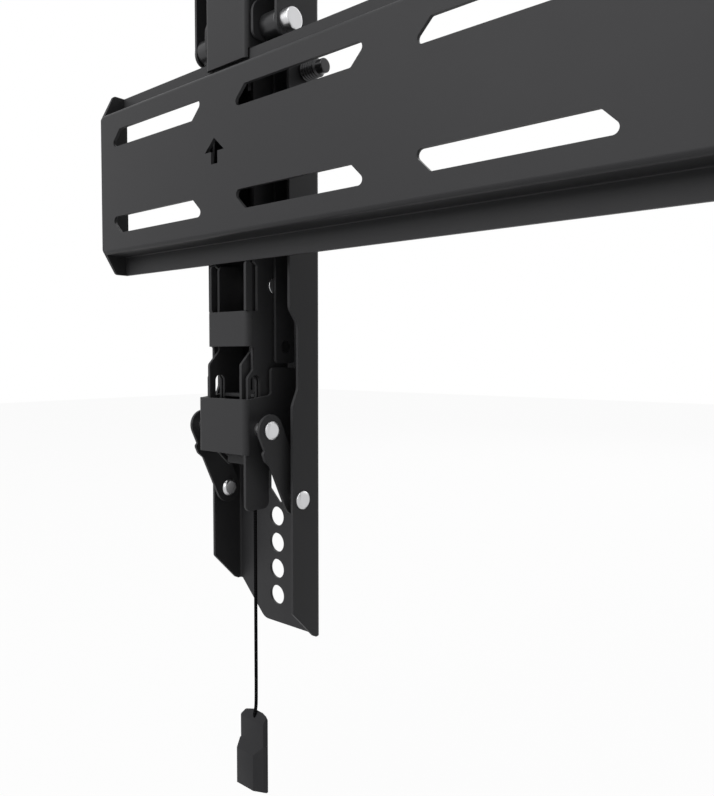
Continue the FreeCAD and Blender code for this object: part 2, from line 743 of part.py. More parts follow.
def side_screw(name, x):
    """A threaded screw through the left wall of the rail, ridges cut as rings."""
    outer = -s.rail_half - s.snug
    tip = outer - s.screw_reach
    core = s.screw_radius - s.screw_pitch * 0.4
    inner = -s.rail_half + s.gauge + s.snug
    profile = [(inner + s.screw_tip, 0), (inner + s.screw_tip, core, s.screw_pitch / 2),
               (inner, core), (inner, s.screw_radius), (outer, s.screw_radius)]
    for ridge in range(6):
        start = outer - s.screw_pitch * (ridge * 1.4 + 0.2)
        profile += [(start, s.screw_radius + s.screw_ridge / 3),
                    (start - s.screw_pitch * 0.5, s.screw_radius + s.screw_ridge),
                    (start - s.screw_pitch * 0.9, s.screw_radius + s.screw_ridge)]
    profile += [(outer - s.screw_pitch * 8.6, s.screw_radius),
                (tip, s.screw_radius, s.screw_pitch / 2), (tip, 0)]
    return turned(name, x, -s.screw_depth, s.screw_height, profile)


def lock_spring(name, x):
    body = new_body(name, x, -s.spring_depth, -s.box_foot + s.gauge)
    height = s.box_foot - s.shelf_drop - s.gauge * 2
    inner, low = s.spring_radius - s.spring_wire, s.snug
    sketch = fill_sketch(new_sketch(body, name + "_wire", "XZ", 0), [[
        (inner, low), (s.spring_radius, low), (s.spring_radius, low + s.spring_wire),
        (inner, low + s.spring_wire)]])
    coil = body.newObject("PartDesign::AdditiveHelix", name + "_coil")
    coil.Profile = sketch
    coil.ReferenceAxis = (sketch, ["V_Axis"])
    coil.Mode = "pitch-height-angle"
    bind(coil, "Pitch", s.spring_pitch)
    bind(coil, "Height", height - s.spring_wire - s.snug * 2)
    return body


def pull_cord(name, x):
    """A straight cord from the slider's cord shelf down to the handle."""
    top = FreeCAD.Vector(0, 0, 0)
    bottom = FreeCAD.Vector(0, 0, -(s.handle_top - s.slider_foot).value)
    path = doc.addObject("Part::Feature", name + "_path")
    path.Shape = Part.Wire([Part.LineSegment(top, bottom).toShape()])
    ring = doc.addObject("Part::Circle", name + "_ring")
    bind(ring, "Radius", s.cord_width / 2)
    cord = doc.addObject("Part::Sweep", name)
    cord.Sections = [ring]
    cord.Spine = (path, ["Edge1"])
    cord.Solid = True
    cord.Label = name
    bind(cord, "Placement.Base.x", x - s.cord_side)
    bind(cord, "Placement.Base.y", -s.cord_depth)
    bind(cord, "Placement.Base.z", -s.slider_foot)
    return cord


def pull_handle(name, x):
    """A flat tab under the cord that widens to a thicker grip."""
    body = new_body(name, x - s.cord_side - s.handle_side, -s.cord_depth)
    front, behind = s.handle_thin / 2, -s.handle_thin / 2
    half, top, corner = s.handle_half, -s.handle_top, s.handle_corner
    step, bottom = -s.handle_step, -s.handle_bottom
    grip = half + s.handle_flare / 2
    add(body, "tab", "XZ", -front, s.handle_thin, [[
        (half, bottom), (half, top - corner), (half - corner * 0.6, top - corner * 0.35),
        (corner * 0.4, top, corner), (-half, top - corner * 0.4, corner * 0.6),
        (-half, bottom)]])
    add(body, "grip", "XY", bottom, s.handle_bottom - s.handle_step - s.handle_slope, [[
        (grip, behind), (grip, s.handle_thick - front, s.handle_round),
        (-half * 0.1, s.handle_thick - front, s.handle_thick),
        (-half, s.handle_thick - front - s.handle_lean, s.handle_round / 2),
        (-half, behind)]])
    add(body, "slope", "YZ", -half, half * 2, [[
        (behind, step), (front, step), (front + s.handle_lean / 3, step - s.handle_slope),
        (behind, step - s.handle_slope)]])
    cut(body, "cord_hole", "XZ", -s.handle_thick, s.handle_thick * 2,
        [(s.handle_side, top - corner * 0.6, s.handle_hole)])
    return body


pieces.append(wall_plate())
for word, side in SIDES:
    x = s.arm_spacing / 2 * side
    pieces += [tv_rail(word + "_tv_rail", x), tilt_arm(word + "_tilt_arm", x),
               hook_bracket(word + "_hook_bracket", x),
               lock_slider(word + "_lock_slider", x), guide_box(word + "_guide_box", x)]
    for side_word, link_side in SIDES:
        pieces.append(link("%s_link_%s" % (word, side_word), x, link_side))
    pieces += rivets(word, x)
    pieces += [side_screw(word + "_side_screw", x), lock_spring(word + "_lock_spring", x),
               pull_cord(word + "_pull_cord", x), pull_handle(word + "_pull_handle", x)]

doc.recompute()

for thing in doc.Objects:
    if "Invalid" in thing.State or "Error" in thing.State:
        raise RuntimeError("%s did not build: %s" % (thing.Label, thing.State))
    if thing.TypeId == "PartDesign::Pocket":
        if thing.Shape.Volume >= thing.BaseFeature.Shape.Volume - 1e-6:
            raise RuntimeError("%s cuts nothing" % thing.Label)

os.makedirs("parts", exist_ok=True)
for piece in pieces:
    if not piece.Shape.isValid() or len(piece.Shape.Solids) != 1:
        raise RuntimeError("%s is not one valid solid" % piece.Label)
    piece.Shape.exportStep("parts/%s.step" % piece.Label)
print("%d pieces" % len(pieces))
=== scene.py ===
import json
import math

import bpy
from bpy.props import FloatProperty, FloatVectorProperty, PointerProperty
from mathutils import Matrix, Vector

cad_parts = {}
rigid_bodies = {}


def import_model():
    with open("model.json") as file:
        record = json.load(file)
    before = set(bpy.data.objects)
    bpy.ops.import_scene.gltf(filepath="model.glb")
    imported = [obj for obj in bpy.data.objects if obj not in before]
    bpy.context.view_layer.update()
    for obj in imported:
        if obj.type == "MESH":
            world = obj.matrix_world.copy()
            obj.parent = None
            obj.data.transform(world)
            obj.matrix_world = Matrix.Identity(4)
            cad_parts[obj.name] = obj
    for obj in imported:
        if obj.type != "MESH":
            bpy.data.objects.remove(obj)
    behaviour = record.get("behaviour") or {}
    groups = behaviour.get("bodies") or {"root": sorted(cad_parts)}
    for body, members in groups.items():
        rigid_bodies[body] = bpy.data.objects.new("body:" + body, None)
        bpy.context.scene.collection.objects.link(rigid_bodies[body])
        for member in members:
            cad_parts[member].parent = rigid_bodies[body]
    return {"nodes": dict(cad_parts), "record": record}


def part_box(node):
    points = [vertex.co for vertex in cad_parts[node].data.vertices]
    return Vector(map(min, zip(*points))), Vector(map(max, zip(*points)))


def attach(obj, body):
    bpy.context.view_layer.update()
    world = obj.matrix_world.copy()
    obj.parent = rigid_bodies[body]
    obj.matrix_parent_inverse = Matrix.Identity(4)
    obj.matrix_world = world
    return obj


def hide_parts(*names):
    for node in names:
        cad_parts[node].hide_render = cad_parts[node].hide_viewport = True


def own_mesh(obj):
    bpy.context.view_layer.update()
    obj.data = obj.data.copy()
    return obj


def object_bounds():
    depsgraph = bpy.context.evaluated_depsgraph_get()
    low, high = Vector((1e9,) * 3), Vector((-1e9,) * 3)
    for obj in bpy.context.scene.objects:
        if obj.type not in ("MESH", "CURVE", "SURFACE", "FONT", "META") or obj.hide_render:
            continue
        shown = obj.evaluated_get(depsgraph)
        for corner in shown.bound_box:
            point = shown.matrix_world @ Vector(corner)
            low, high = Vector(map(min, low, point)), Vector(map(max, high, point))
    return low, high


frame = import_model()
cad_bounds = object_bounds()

bl_info = {
    "name": "Tilting TV wall bracket",
    "version": (1, 0, 0),
    "blender": (4, 5, 0),
    "location": "View3D > Sidebar > Bracket",
    "description": "Finishes the coated sheets, pivots and pull cords of a TV wall bracket",
    "category": "Object",
}

MM = 0.001
WHITE = (1, 1, 1, 1)

ARM_PLACES = {"right": 0.2, "left": -0.2}
ARMS = tuple(ARM_PLACES)
SIDES = ("right", "left")
SHEETS = ("tv_rail", "tilt_arm", "hook_bracket", "lock_slider", "guide_box",
          "link_right", "link_left")
PLATED_PIVOTS = ("upper_rivet", "lower_rivet", "pivot_bolt")
BLACK_PIVOTS = ("pivot_spacer", "arm_rivet")

# Corners to move: the lowest and highest place that holds them, and how far they go,
# all in millimetres from the middle of the arm or the wall plate.
END_FLANGE_MOVES = (
    ((280.7, -10.2, 44.0), (282.4, -8.3, 45.2), (0, 2.4, 0)),
    ((280.7, -10.1, -43.5), (282.4, -8.3, -42.5), (0, 2.0, 0)),
    ((-282.4, -10.2, 44.0), (-280.7, -8.3, 45.2), (0, 2.4, 0)),
    ((-282.4, -10.1, -43.5), (-280.7, -8.3, -42.5), (0, 2.0, 0)),
)
PRONG_MOVES = (
    ((12.0, -10.9, -63.6), (13.8, -9.2, -43.9), (0, -2.3, 0)),
    ((-13.8, -9.4, -63.6), (-12.0, -9.2, -63.4), (0, 0, -1.5)),
    ((-13.8, -14.75, -45.55), (-12.0, -14.15, -44.1), (0, 1.8, 0)),
    ((-13.8, -14.05, -44.3), (-12.0, -13.15, -43.95), (0, 1.8, 0)),
    ((-13.8, -15.5, -65.05), (-12.0, -14.65, -64.2), (0, 1.8, 0)),
    ((-13.8, -17.45, -45.55), (-12.0, -17.35, -45.45), (0, 1.6, 0)),
    ((-13.8, -17.45, -65.05), (-12.0, -16.6, -64.2), (0, 1.6, 0)),
)

# The handle's two blocks: opposite corners in millimetres from the arm's middle, and
# flat cuts, each a place on the cut and the way that the side taken off faces.
HANDLE_TAB = ((-13.4, -20.9, -279.5), (2.9, -19.2, -243.9))
HANDLE_TAB_CUTS = (
    ((2.9, 0, -247.95), (2.35, 0, 2.1)),
    ((0.8, 0, -245.6), (1.7, 0, 5.8)),
    ((-5.0, 0, -244.1), (-0.2, 0, 5.1)),
    ((-10.1, 0, -244.3), (-0.9, 0, 2.2)),
    ((-12.3, 0, -245.2), (-1.3, 0, 1.1)),
    ((0, -19.2, -248.7), (0, 4.7, 1.3)),
    ((-12.1, -19.2, 0), (-1.2, 1.3, 0)),
)
HANDLE_GRIP = ((-13.4, -20.9, -279.5), (3.5, -17.2, -259.0))
HANDLE_GRIP_CUTS = (
    ((0, -19.2, -259.0), (0, 4.2, 2.0)),
    ((-7.5, -17.2, 0), (-2.7, 5.9, 0)),
)

# The cord's route, in millimetres from its top.
CORD_POINTS = ((0, 0, 0), (0, 0, -40), (0, 0, -80), (0, 0, -106), (0, 0.35, -110.5),
               (0.4, 0.95, -113.0), (1.0, -0.3, -115.0))
CORD_TONES = ((0.004, 0.004, 0.004, 1), (0.014, 0.014, 0.015, 1))

GUIDE_RIVET_PLACE = (-13.93, -25.8, -53.7)
GUIDE_RIVET_RADIUS = 3.5 * MM
GUIDE_RIVET_DEPTH = 0.6 * MM
GUIDE_RIVET_ROUNDING = 0.25 * MM

SHEET_MERGE_GAP = 0.002 * MM
HANDLE_MERGE_GAP = 0.01 * MM
FLAT_ANGLE = math.radians(0.5)
SHEET_ANGLE = math.radians(30)
HANDLE_EDGE_ANGLE = math.radians(12)
HEAD_EDGE_ANGLE = math.radians(40)
SMOOTH_ANGLE = math.radians(35)
PLATE_EASE_SHARE = 0.6
SPRING_EASE = 0.02 * MM

NOISE_MIDDLE = 0.5
ROUGHNESS_SPREAD = 0.12
GRAIN_STRENGTH = 0.35
COAT_SPECULAR = 0.15

# Each light's name, place, side length and multiple of the key power.
LAMPS = (
    ("key_light", (0.5, 1.5, 0.8), 1.2, 4),
    ("top_light", (0.0, 0.5, 1.4), 0.3, 1),
    ("room_light", (0.4, -1.6, 1.0), 1.4, 3),
)
FLOOR_COLOUR = (0.5, 0.5, 0.5, 1)
BACKDROP_GLOW = 1.05

# The photograph's size, focal length and horizon are in pixels, its sensor in
# millimetres, and the camera turns about Z and dips from level.
PHOTO_SIZE = (714, 796)
FOCAL_PIXELS = 724.8
HORIZON_ROW = 385.0
SENSOR = 36.0
CAMERA_PLACE = Vector((-47.64, 196.44, -84.67)) * MM
CAMERA_TURN = math.radians(40.0)
CAMERA_DIP = math.radians(2.23)
CAMERA_NEAR = 0.01


# sizes and colours

class CoatSettings(bpy.types.PropertyGroup):
    """Finish of the coated steel."""
    colour: FloatVectorProperty(
        name="Coat Colour", description="Colour of the powder coat", subtype="COLOR",
        size=3, min=0, max=1, default=(0.045, 0.045, 0.047))
    edge_ease: FloatProperty(
        name="Edge Ease", description="How far the coat rounds a cut edge",
        subtype="DISTANCE", unit="LENGTH", min=0.0, default=0.22 * MM)
    grain: FloatProperty(
        name="Grain Size", description="Size of the fine bumps in the powder coat",
        subtype="DISTANCE", unit="LENGTH", min=0.0001, default=0.45 * MM)


class MetalSettings(bpy.types.PropertyGroup):
    """Finish of the rivets, bolts and spring."""
    colour: FloatVectorProperty(
        name="Zinc Colour", description="Colour of the plated pivots", subtype="COLOR",
        size=3, min=0, max=1, default=(0.6, 0.6, 0.61))
    roughness: FloatProperty(
        name="Roughness", description="Roughness of the plated pivots",
        min=0, max=1, default=0.34)


class CordSettings(bpy.types.PropertyGroup):
    """Pull cord and its handle."""
    diameter: FloatProperty(
        name="Diameter", description="Diameter of the pull cord",
        subtype="DISTANCE", unit="LENGTH", default=1.5 * MM)
    cord_shift: FloatProperty(
        name="Cord Shift",
        description="How far the cord hangs beside the middle of its hole",
        subtype="DISTANCE", unit="LENGTH", default=1.4 * MM)
    handle_colour: FloatVectorProperty(
        name="Handle Colour", description="Colour of the moulded handle",
        subtype="COLOR", size=3, min=0, max=1, default=(0.028, 0.028, 0.03))
    handle_round: FloatProperty(
        name="Handle Rounding", description="Rounding of the handle's edges",
        subtype="DISTANCE", unit="LENGTH", default=0.3 * MM)


class StageSettings(bpy.types.PropertyGroup):
    """Floor and studio light."""
    floor_drop: FloatProperty(
        name="Floor Drop", description="Gap between the handles and the floor",
        subtype="DISTANCE", unit="LENGTH", default=60 * MM)
    key_power: FloatProperty(
        name="Key Power",
        description="Power of the top light, of which the other lights are multiples",
        subtype="POWER", default=4.35)
    fill: FloatProperty(
        name="Fill", description="Strength of the light from all round", default=0.16)
    floor_glow: FloatProperty(
        name="Floor Glow", description="Share of the floor that shows as the backdrop",
        min=0, max=1, default=0.9)
    backdrop_size: FloatProperty(
        name="Floor Size", description="Side of the square floor",
        subtype="DISTANCE", unit="LENGTH", default=8.0)


SETTINGS = {"bracket_coat": CoatSettings, "bracket_metal": MetalSettings,
            "bracket_cord": CordSettings, "bracket_stage": StageSettings}


# materials

def add_node(tree, kind, **values):
    """A node with its inputs set by name, and what isn't an input as its own property."""
    node = tree.nodes.new(kind)
    for name, value in values.items():
        if name in node.inputs:
            node.inputs[name].default_value = value
        else:
            setattr(node, name, value)
    return node


def new_material(name):
    """A new material, its node tree and its shader."""
    material = bpy.data.materials.new(name)
    material.use_nodes = True
    tree = material.node_tree
    return material, tree, tree.nodes["Principled BSDF"]


def powder_group():
    """Fine orange-peel bumps and slight tone changes of a powder coat."""
    group = bpy.data.node_groups.get("Powder Coat")
    if group:
        return group
    group = bpy.data.node_groups.new("Powder Coat", "ShaderNodeTree")
    sockets = group.interface
    for name, kind, default in (("Colour", "NodeSocketColor", (0.05, 0.05, 0.05, 1)),
                                ("Grain Scale", "NodeSocketFloat", 2200.0),
                                ("Tone", "NodeSocketFloat", 0.12),
                                ("Base Roughness", "NodeSocketFloat", 0.42)):
        socket = sockets.new_socket(name, in_out="INPUT", socket_type=kind)
        socket.default_value = default
    for name, kind in (("Colour", "NodeSocketColor"), ("Roughness", "NodeSocketFloat"),
                       ("Height", "NodeSocketFloat")):
        sockets.new_socket(name, in_out="OUTPUT", socket_type=kind)
    link = group.links.new
    given = group.nodes.new("NodeGroupInput")
    out = group.nodes.new("NodeGroupOutput")
    place = group.nodes.new("ShaderNodeTexCoord")
    grain = add_node(group, "ShaderNodeTexNoise", Detail=3.0, Roughness=0.55)
    cloud = add_node(group, "ShaderNodeTexNoise", Scale=38.0, Detail=4.0, Roughness=0.6)
    link(place.outputs["Object"], grain.inputs["Vector"])
    link(place.outputs["Object"], cloud.inputs["Vector"])
    link(given.outputs["Grain Scale"], grain.inputs["Scale"])
    spread = add_node(group, "ShaderNodeMath", operation="SUBTRACT")
    spread.inputs[1].default_value = NOISE_MIDDLE
    link(cloud.outputs["Fac"], spread.inputs[0])
    tone = add_node(group, "ShaderNodeMath", operation="MULTIPLY_ADD")
    tone.inputs[2].default_value = 1.0
    link(spread.outputs[0], tone.inputs[0])
    link(given.outputs["Tone"], tone.inputs[1])
    colour = add_node(group, "ShaderNodeVectorMath", operation="SCALE")
    link(given.outputs["Colour"], colour.inputs[0])
    link(tone.outputs[0], colour.inputs["Scale"])
    link(colour.outputs[0], out.inputs["Colour"])
    rough = add_node(group, "ShaderNodeMath", operation="MULTIPLY_ADD")
    rough.inputs[1].default_value = ROUGHNESS_SPREAD
    link(spread.outputs[0], rough.inputs[0])
    link(given.outputs["Base Roughness"], rough.inputs[2])
    link(rough.outputs[0], out.inputs["Roughness"])
    link(grain.outputs["Fac"], out.inputs["Height"])
    return group


def grained_material(name, colour, scale, roughness, depth, tone=0.12, metallic=0.0):
    """A material whose colour, gloss and fine bumps come from the powder group."""
    material, tree, shader = new_material(name)
    shader.inputs["Metallic"].default_value = metallic
    shader.inputs["Specular IOR Level"].default_value = COAT_SPECULAR
    coat = tree.nodes.new("ShaderNodeGroup")
    coat.node_tree = powder_group()
    coat.inputs["Colour"].default_value = (*colour, 1)
    coat.inputs["Grain Scale"].default_value = scale
    coat.inputs["Tone"].default_value = tone
    coat.inputs["Base Roughness"].default_value = roughness
    bump = add_node(tree, "ShaderNodeBump", Strength=GRAIN_STRENGTH, Distance=depth)
    link = tree.links.new
    link(coat.outputs["Colour"], shader.inputs["Base Color"])
    link(coat.outputs["Roughness"], shader.inputs["Roughness"])
    link(coat.outputs["Height"], bump.inputs["Height"])
    link(bump.outputs["Normal"], shader.inputs["Normal"])
    return material


def black_coat(name):
    """Satin black powder coat of the folded sheets."""
    coat = bpy.context.scene.bracket_coat
    return grained_material(name, coat.colour, scale=1 / coat.grain, roughness=0.48,
                            depth=0.03 * MM)


def plated_steel(name):
    """Bright zinc plating of the rivets, bolts and springs."""
    metal = bpy.context.scene.bracket_metal
    return grained_material(name, metal.colour, scale=1400.0, roughness=metal.roughness,
                            depth=0.02 * MM, tone=0.25, metallic=1.0)


def black_screw_steel(name):
    """Blackened steel of the side screws, spacers and lower arm rivets."""
    return grained_material(name, (0.06, 0.06, 0.062), scale=1800.0, roughness=0.3,
                            depth=0.02 * MM, tone=0.3, metallic=0.7)


def handle_plastic(name):
    """Fine-grained black plastic of the handles."""
    cord = bpy.context.scene.bracket_cord
    return grained_material(name, cord.handle_colour, scale=2600.0, roughness=0.55,
                            depth=0.03 * MM, tone=0.06)


def braided_cord(name):
    """Matte black braid with fine bands along the cord."""
    material, tree, shader = new_material(name)
    shader.inputs["Roughness"].default_value = 0.9
    shader.inputs["Specular IOR Level"].default_value = 0.0
    place = tree.nodes.new("ShaderNodeTexCoord")
    bands = add_node(tree, "ShaderNodeTexWave", Scale=260.0, Distortion=1.5,
                     bands_direction="Z")
    ramp = tree.nodes.new("ShaderNodeValToRGB")
    for stop, tone in zip(ramp.color_ramp.elements, CORD_TONES):
        stop.color = tone
    bump = add_node(tree, "ShaderNodeBump", Strength=0.25, Distance=0.08 * MM)
    link = tree.links.new
    link(place.outputs["Object"], bands.inputs["Vector"])
    link(bands.outputs["Fac"], ramp.inputs["Fac"])
    link(ramp.outputs["Color"], shader.inputs["Base Color"])
    link(bands.outputs["Fac"], bump.inputs["Height"])
    link(bump.outputs["Normal"], shader.inputs["Normal"])
    return material


def seen_share(tree, share):
    """The share for camera, glossy and transmission rays, and nothing for the rest."""
    ray = tree.nodes.new("ShaderNodeLightPath")
    total = None
    for name in ("Is Camera Ray", "Is Glossy Ray", "Is Transmission Ray"):
        step = add_node(tree, "ShaderNodeMath", operation="MULTIPLY_ADD")
        step.inputs[1].default_value = share
        step.inputs[2].default_value = 0.0
        tree.links.new(ray.outputs[name], step.inputs[0])
        if total:
            tree.links.new(total, step.inputs[2])
        total = step.outputs[0]
    return total


def white_floor(name):
    """A white that shows as the backdrop but keeps some of the object's shadow."""
    material, tree, shader = new_material(name)
    shader.inputs["Base Color"].default_value = FLOOR_COLOUR
    shader.inputs["Roughness"].default_value = 1.0
    glow = add_node(tree, "ShaderNodeEmission", Strength=BACKDROP_GLOW)
    mix = tree.nodes.new("ShaderNodeMixShader")
    link = tree.links.new
    link(seen_share(tree, bpy.context.scene.bracket_stage.floor_glow),
         mix.inputs["Fac"])
    link(shader.outputs["BSDF"], mix.inputs[1])
    link(glow.outputs["Emission"], mix.inputs[2])
    link(mix.outputs["Shader"], tree.nodes["Material Output"].inputs["Surface"])
    return material


FINISHES = {
    "satin_powder_coat": black_coat,
    "zinc_plated_steel": plated_steel,
    "blackened_screw_steel": black_screw_steel,
    "moulded_handle_plastic": handle_plastic,
    "braided_cord": braided_cord,
    "studio_white": white_floor,
}


def paint(piece, finish):
    """Give a piece one finish, made the first time that it is asked for."""
    material = bpy.data.materials.get(finish) or FINISHES[finish](finish)
    piece.data.materials.clear()
    piece.data.materials.append(material)


# shapes

def choose(piece):
    """Leave only one object selected and active."""
    bpy.ops.object.select_all(action="DESELECT")
    piece.hide_set(False)
    piece.select_set(True)
    bpy.context.view_layer.objects.active = piece


def spot(node, place):
    """A place in millimetres from the middle of a node's arm, or of the wall plate."""
    middle = Vector((ARM_PLACES.get(node.split("_")[0], 0), 0, 0))
    return middle + Vector(place) * MM


def apply_modifier(piece, kind, **options):
    """Add a modifier to the active piece, set it and apply it."""
    bpy.ops.object.modifier_add(type=kind)
    modifier = piece.modifiers[-1]
    for name, value in options.items():
        setattr(modifier, name, value)
    bpy.ops.object.modifier_apply(modifier=modifier.name)


def merge_flat(gap):
    """Merge corners of the active piece that are within gap, and faces that are flat."""
    bpy.ops.object.mode_set(mode="EDIT")
    bpy.ops.mesh.select_all(action="SELECT")
    bpy.ops.mesh.remove_doubles(threshold=gap)
    bpy.ops.mesh.dissolve_limited(angle_limit=FLAT_ANGLE)
    bpy.ops.object.mode_set(mode="OBJECT")


def trimmed_block(low, high, cuts):
    """A block between two corners with slices cut off, each at a place and facing out."""
    bpy.ops.mesh.primitive_cube_add(size=1, location=(low + high) / 2)
    block = bpy.context.object
    block.scale = high - low
    bpy.ops.object.transform_apply()
    bpy.ops.object.mode_set(mode="EDIT")
    for place, facing in cuts:
        bpy.ops.mesh.select_all(action="SELECT")
        bpy.ops.mesh.bisect(plane_co=place, plane_no=facing, use_fill=True,
                            clear_outer=True)
    bpy.ops.mesh.select_all(action="SELECT")
    bpy.ops.mesh.normals_make_consistent(inside=False)
    bpy.ops.object.mode_set(mode="OBJECT")
    return block


def moulded_handle(arm, rounding):
    """A thin tab with bevelled face over a thicker grip, in one moulded piece."""
    tab, grip = (
        trimmed_block(spot(arm, low), spot(arm, high),
                      [(spot(arm, place), Vector(facing).normalized())
                       for place, facing in cuts])
        for (low, high), cuts in ((HANDLE_TAB, HANDLE_TAB_CUTS),
                                  (HANDLE_GRIP, HANDLE_GRIP_CUTS)))
    choose(tab)
    apply_modifier(tab, "BOOLEAN", operation="UNION", solver="EXACT", object=grip)
    bpy.data.objects.remove(grip)
    tab.name = arm + "_handle"
    merge_flat(HANDLE_MERGE_GAP)
    apply_modifier(tab, "BEVEL", width=rounding, segments=3, limit_method="ANGLE",
                   angle_limit=HANDLE_EDGE_ANGLE)
    bpy.ops.object.shade_smooth_by_angle(angle=SMOOTH_ANGLE)
    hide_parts(arm + "_pull_handle")
    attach(tab, arm + "_slider")
    return tab


def hanging_cord(name, top, diameter):
    """A cord that hangs plumb from top, passes over the tab's edge and enters its face."""
    curve = bpy.data.curves.new(name, "CURVE")
    curve.dimensions = "3D"
    curve.bevel_depth = diameter / 2
    curve.bevel_resolution = 5
    curve.use_fill_caps = True
    spline = curve.splines.new("NURBS")
    spline.points.add(len(CORD_POINTS) - 1)
    for point, offset in zip(spline.points, CORD_POINTS):
        point.co = (*(top + Vector(offset) * MM), 1)
    spline.order_u = 3
    spline.use_endpoint_u = True
    piece = bpy.data.objects.new(name, curve)
    bpy.context.scene.collection.objects.link(piece)
    return piece


def body_of_node(node):
    """The name of the body that a CAD node moves with."""
    for body, nodes in frame["record"]["behaviour"]["bodies"].items():
        if node in nodes:
            return body
    raise ValueError("no body holds %s" % node)


def select_corners(piece, low, high):
    """Select the corners of a mesh between two places, in edit mode."""
    bpy.ops.object.mode_set(mode="EDIT")
    bpy.ops.mesh.select_mode(type="VERT")
    bpy.ops.mesh.select_all(action="DESELECT")
    bpy.ops.object.mode_set(mode="OBJECT")
    for corner in piece.data.vertices:
        corner.select = all(least <= value <= most for least, value, most
                            in zip(low, corner.co, high))
    bpy.ops.object.mode_set(mode="EDIT")


def eased_copy(node, ease, segments=2, moves=(), clamp=False):
    """A merged copy of a CAD piece with eased edges, which stands in for the node."""
    choose(frame["nodes"][node])
    bpy.ops.object.duplicate()
    piece = bpy.context.view_layer.objects.active
    bpy.ops.object.parent_clear(type="CLEAR_KEEP_TRANSFORM")
    piece.name = node + "_skin"
    merge_flat(SHEET_MERGE_GAP)
    for low, high, way in moves:
        select_corners(piece, spot(node, low), spot(node, high))
        bpy.ops.transform.translate(value=Vector(way) * MM)
        bpy.ops.object.mode_set(mode="OBJECT")
    apply_modifier(piece, "BEVEL", width=ease, segments=segments, limit_method="ANGLE",
                   angle_limit=SHEET_ANGLE, use_clamp_overlap=clamp,
                   miter_outer="MITER_ARC")
    bpy.ops.object.shade_smooth_by_angle(angle=SHEET_ANGLE)
    apply_modifier(piece, "WEIGHTED_NORMAL", keep_sharp=True, weight=100)
    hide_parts(node)
    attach(piece, body_of_node(node))
    return piece


def lock_spring(arm):
    """The plated spring under the slider, with eased edges and a mesh of its own. The real
    spring shortens as the slider is pulled down.
    """
    node = arm + "_lock_spring"
    spring = eased_copy(node, SPRING_EASE, segments=1, clamp=True)
    paint(spring, "zinc_plated_steel")
    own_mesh(spring)


def guide_rivet(arm):
    """A low plated rivet head on the hook bracket's side, beside the tilt arm."""
    bpy.ops.mesh.primitive_cylinder_add(
        vertices=48, radius=GUIDE_RIVET_RADIUS, depth=GUIDE_RIVET_DEPTH,
        rotation=(0, math.radians(90), 0), location=spot(arm, GUIDE_RIVET_PLACE))
    head = bpy.context.object
    head.name = arm + "_guide_rivet"
    bpy.ops.object.transform_apply()
    apply_modifier(head, "BEVEL", width=GUIDE_RIVET_ROUNDING, segments=3,
                   angle_limit=HEAD_EDGE_ANGLE)
    bpy.ops.object.shade_smooth_by_angle(angle=SMOOTH_ANGLE)
    paint(head, "zinc_plated_steel")
    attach(head, arm + "_carriage")


class BRACKET_OT_wall_plate(bpy.types.Operator):
    """Ease the edges of the wall plate and coat it"""
    bl_idname = "bracket.wall_plate"
    bl_label = "Wall Plate"

    def execute(self, context):
        ease = context.scene.bracket_coat.edge_ease * PLATE_EASE_SHARE
        piece = eased_copy("wall_plate", ease, moves=END_FLANGE_MOVES, clamp=True)
        paint(piece, "satin_powder_coat")
        return {"FINISHED"}


class BRACKET_OT_arm_sheets(bpy.types.Operator):
    """Ease the edges of the folded arm sheets and coat them"""
    bl_idname = "bracket.arm_sheets"
    bl_label = "Arm Sheets"

    def execute(self, context):
        ease = context.scene.bracket_coat.edge_ease
        for arm in ARMS:
            for sheet in SHEETS:
                moves = PRONG_MOVES if sheet == "hook_bracket" else ()
                piece = eased_copy("%s_%s" % (arm, sheet), ease, moves=moves)
                paint(piece, "satin_powder_coat")
        return {"FINISHED"}


class BRACKET_OT_pivots(bpy.types.Operator):
    """Plate the rivets, bolts and springs, and blacken the screws and spacers"""
    bl_idname = "bracket.pivots"
    bl_label = "Pivots"

    def execute(self, context):
        for arm in ARMS:
            lock_spring(arm)
            paint(frame["nodes"][arm + "_side_screw"], "blackened_screw_steel")
            for side in SIDES:
                for pivots, finish in ((PLATED_PIVOTS, "zinc_plated_steel"),
                                       (BLACK_PIVOTS, "blackened_screw_steel")):
                    for pivot in pivots:
                        paint(frame["nodes"]["%s_%s_%s" % (arm, pivot, side)], finish)
            guide_rivet(arm)
        return {"FINISHED"}


class BRACKET_OT_pull_cords(bpy.types.Operator):
    """Hang a cord from each lock slider and give it its moulded handle"""
    bl_idname = "bracket.pull_cords"
    bl_label = "Pull Cords"

    def execute(self, context):
        settings = context.scene.bracket_cord
        for arm in ARMS:
            handle = moulded_handle(arm, settings.handle_round)
            paint(handle, "moulded_handle_plastic")
            low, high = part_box(arm + "_pull_cord")
            middle = (low + high) / 2
            top = Vector((middle.x - settings.cord_shift, middle.y, high.z))
            cord = hanging_cord(arm + "_cord", top, settings.diameter)
            paint(cord, "braided_cord")
            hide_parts(arm + "_pull_cord")
            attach(cord, arm + "_slider")
        return {"FINISHED"}


# stage

def add_floor(stage):
    """A square white floor under the handles."""
    low = Vector(cad_bounds[0])
    bpy.ops.mesh.primitive_plane_add(
        size=stage.backdrop_size, location=(0, 0, low.z - stage.floor_drop))
    floor = bpy.context.object
    floor.name = "studio_floor"
    paint(floor, "studio_white")


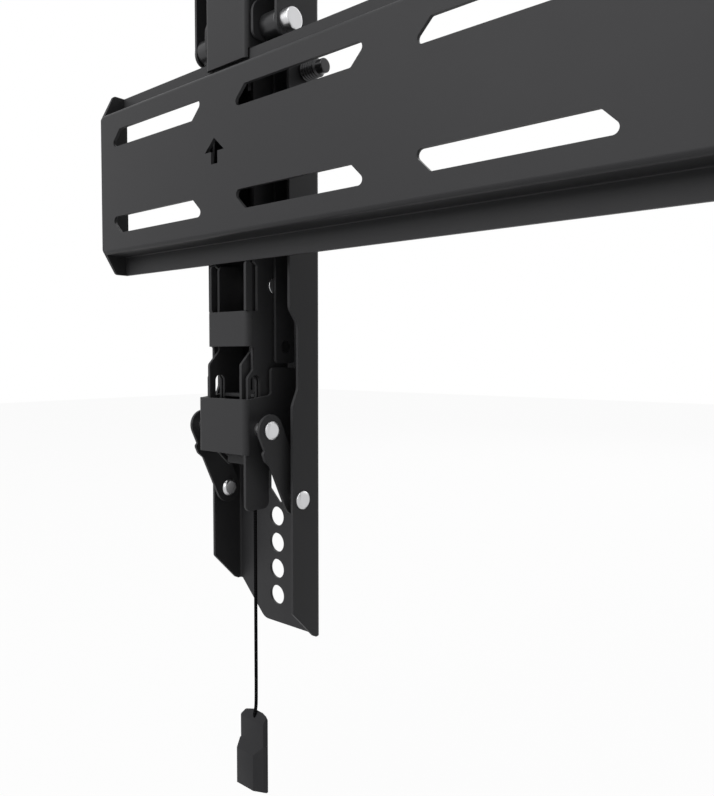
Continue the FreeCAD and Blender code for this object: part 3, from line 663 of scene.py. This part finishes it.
def light_world(fill):
    """A world that lights the object by fill from all round and shows as white."""
    scene = bpy.context.scene
    scene.world = scene.world or bpy.data.worlds.new("studio")
    scene.world.use_nodes = True
    tree = scene.world.node_tree
    tree.nodes.clear()
    back = add_node(tree, "ShaderNodeBackground", Color=WHITE, Strength=fill)
    seen = add_node(tree, "ShaderNodeBackground", Color=WHITE, Strength=1.0)
    mix = tree.nodes.new("ShaderNodeMixShader")
    out = tree.nodes.new("ShaderNodeOutputWorld")
    link = tree.links.new
    link(seen_share(tree, 1.0), mix.inputs["Fac"])
    link(back.outputs[0], mix.inputs[1])
    link(seen.outputs[0], mix.inputs[2])
    link(mix.outputs[0], out.inputs["Surface"])


def add_lamp(name, place, size, power):
    """A square soft light that faces the middle of the wall plate."""
    bpy.ops.object.light_add(type="AREA", location=place)
    lamp = bpy.context.object
    lamp.name = name
    lamp.data.shape = "SQUARE"
    lamp.data.size = size
    lamp.data.energy = power
    facing = Vector((0, 0, 0)) - Vector(place)
    lamp.rotation_euler = facing.to_track_quat("-Z", "Y").to_euler()


def add_camera():
    """The photograph's camera: level but for a small dip, with its horizon shifted."""
    bpy.ops.object.camera_add(location=CAMERA_PLACE)
    camera = bpy.context.object
    camera.name = "photo_camera"
    look = Vector((math.sin(CAMERA_TURN) * math.cos(CAMERA_DIP),
                   -math.cos(CAMERA_TURN) * math.cos(CAMERA_DIP),
                   -math.sin(CAMERA_DIP)))
    camera.rotation_euler = look.to_track_quat("-Z", "Y").to_euler()
    camera.data.sensor_width = SENSOR
    camera.data.lens = SENSOR * FOCAL_PIXELS / max(PHOTO_SIZE)
    camera.data.shift_y = (HORIZON_ROW - PHOTO_SIZE[1] / 2) / max(PHOTO_SIZE)
    camera.data.clip_start = CAMERA_NEAR
    bpy.context.scene.camera = camera


class BRACKET_OT_stage(bpy.types.Operator):
    """Set up the floor, the soft studio light and the camera"""
    bl_idname = "bracket.stage"
    bl_label = "Stage"

    def execute(self, context):
        stage = context.scene.bracket_stage
        add_floor(stage)
        light_world(stage.fill)
        for name, place, size, multiple in LAMPS:
            add_lamp(name, place, size, stage.key_power * multiple)
        add_camera()
        context.scene.view_settings.view_transform = "Standard"
        return {"FINISHED"}


STEPS = (BRACKET_OT_stage, BRACKET_OT_pull_cords, BRACKET_OT_wall_plate,
         BRACKET_OT_arm_sheets, BRACKET_OT_pivots)


class BRACKET_PT_panel(bpy.types.Panel):
    """Steps and settings of the bracket"""
    bl_label = "TV Wall Bracket"
    bl_idname = "BRACKET_PT_panel"
    bl_space_type = "VIEW_3D"
    bl_region_type = "UI"
    bl_category = "Bracket"

    def draw(self, context):
        for name, settings in SETTINGS.items():
            box = self.layout.box()
            for prop in settings.__annotations__:
                box.prop(getattr(context.scene, name), prop)
        for step in STEPS:
            self.layout.operator(step.bl_idname)


CLASSES = (*SETTINGS.values(), *STEPS, BRACKET_PT_panel)


def register():
    """Register the classes and put the settings on the scene."""
    for item in CLASSES:
        bpy.utils.register_class(item)
    for name, settings in SETTINGS.items():
        setattr(bpy.types.Scene, name, PointerProperty(type=settings))


def unregister():
    """Take the settings off the scene and unregister the classes."""
    for name in SETTINGS:
        delattr(bpy.types.Scene, name)
    for item in reversed(CLASSES):
        bpy.utils.unregister_class(item)


def main():
    """Run each step in order."""
    register()
    for step in STEPS:
        group, name = step.bl_idname.split(".")
        getattr(getattr(bpy.ops, group), name)()


if __name__ == "__main__":
    main()
